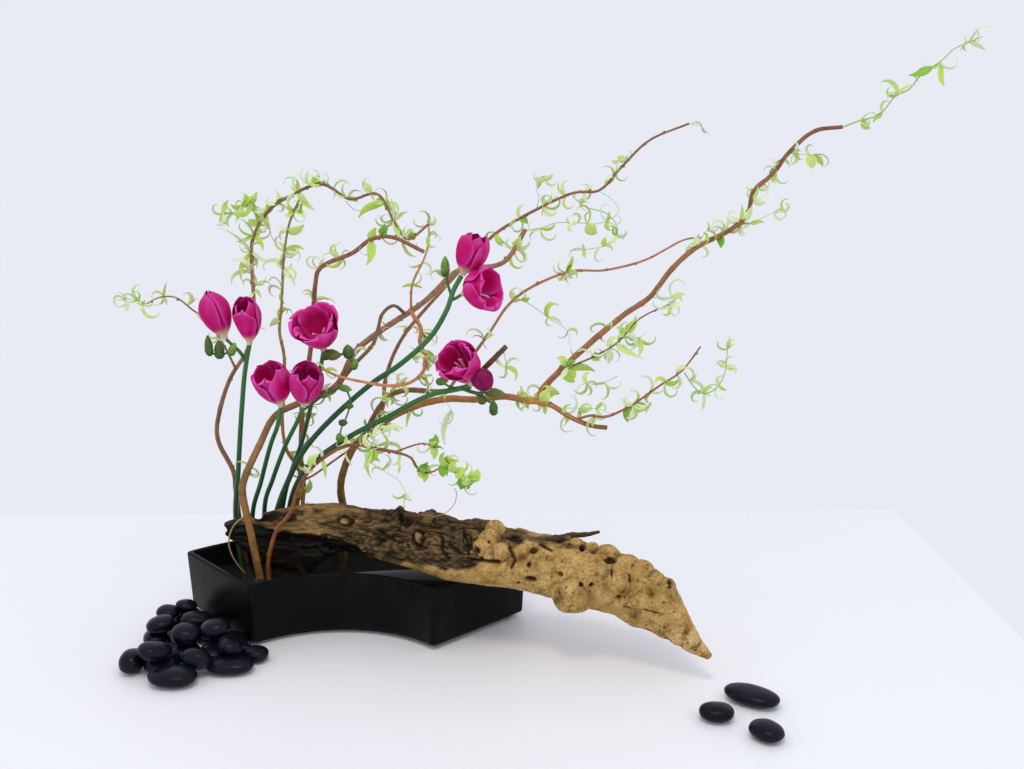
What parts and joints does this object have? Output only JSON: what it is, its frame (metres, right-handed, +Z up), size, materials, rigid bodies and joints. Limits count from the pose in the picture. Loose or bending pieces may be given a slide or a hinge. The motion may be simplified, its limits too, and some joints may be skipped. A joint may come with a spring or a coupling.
{
  "type": "ikebana arrangement",
  "caption": "Freestyle ikebana: curly willow and magenta freesias rise from an arc-shaped black bowl, with driftwood laid over it and black pebbles beside it.",
  "frame": {"origin": "middle of the underside of the bowl's foot, on the table top", "axes": "+Z up; +X to the viewer's right, the way the driftwood and the long branch reach; +Y away from the viewer, towards the bowl's outer, longer side"},
  "size_m": [0.774, 0.299, 0.5442],
  "materials": {
    "bowl_glaze": "black satin glaze",
    "pin_holder_metal": "dull lead grey base with brass pins",
    "driftwood_wood": "weathered, rough and dry, from dark grey-brown to tan",
    "willow_bark": "smooth red-brown bark, satin",
    "freesia_green": "fresh dark green stem, satin",
    "freesia_petals": "magenta petals, soft sheen",
    "willow_leaves": "fresh yellow-green leaves, soft sheen",
    "pebble_stone": "polished black"
  },
  "bodies": {
    "root": {"suiban_bowl": "bowl_glaze", "pin_holder_left": "pin_holder_metal", "pin_holder_middle": "pin_holder_metal", "driftwood": "driftwood_wood", "willow_arch": "willow_bark", "willow_upright": "willow_bark", "willow_thick": "willow_bark", "willow_curved": "willow_bark", "willow_main": "willow_bark", "willow_front": "willow_bark", "freesia_stem_1": "freesia_green", "freesia_stem_2": "freesia_green", "freesia_stem_3": "freesia_green", "freesia_stem_4": "freesia_green", "freesia_stem_5": "freesia_green", "freesia_stem_6": "freesia_green", "floret_1": "freesia_petals", "floret_2": "freesia_petals", "floret_3": "freesia_petals", "floret_4": "freesia_petals", "floret_5": "freesia_petals", "floret_6": "freesia_petals", "floret_7": "freesia_petals", "floret_8": "freesia_petals", "floret_9": "freesia_petals", "shoot_tip": "willow_leaves", "shoot_left": "willow_leaves", "shoot_vine": "willow_leaves", "shoot_curl": "willow_leaves", "shoot_front": "willow_leaves", "shoot_arch": "willow_leaves", "pebble_01": "pebble_stone", "pebble_02": "pebble_stone", "pebble_03": "pebble_stone", "pebble_04": "pebble_stone", "pebble_05": "pebble_stone", "pebble_06": "pebble_stone", "pebble_07": "pebble_stone", "pebble_08": "pebble_stone", "pebble_09": "pebble_stone", "pebble_10": "pebble_stone", "pebble_11": "pebble_stone", "pebble_12": "pebble_stone", "pebble_13": "pebble_stone", "pebble_14": "pebble_stone", "pebble_15": "pebble_stone", "pebble_16": "pebble_stone", "pebble_17": "pebble_stone", "pebble_18": "pebble_stone", "pebble_19": "pebble_stone", "pebble_20": "pebble_stone", "pebble_21": "pebble_stone", "pebble_22": "pebble_stone", "pebble_23": "pebble_stone", "pebble_24": "pebble_stone", "loose_pebble_1": "pebble_stone", "loose_pebble_2": "pebble_stone", "loose_pebble_3": "pebble_stone"}
  },
  "joints": []
}
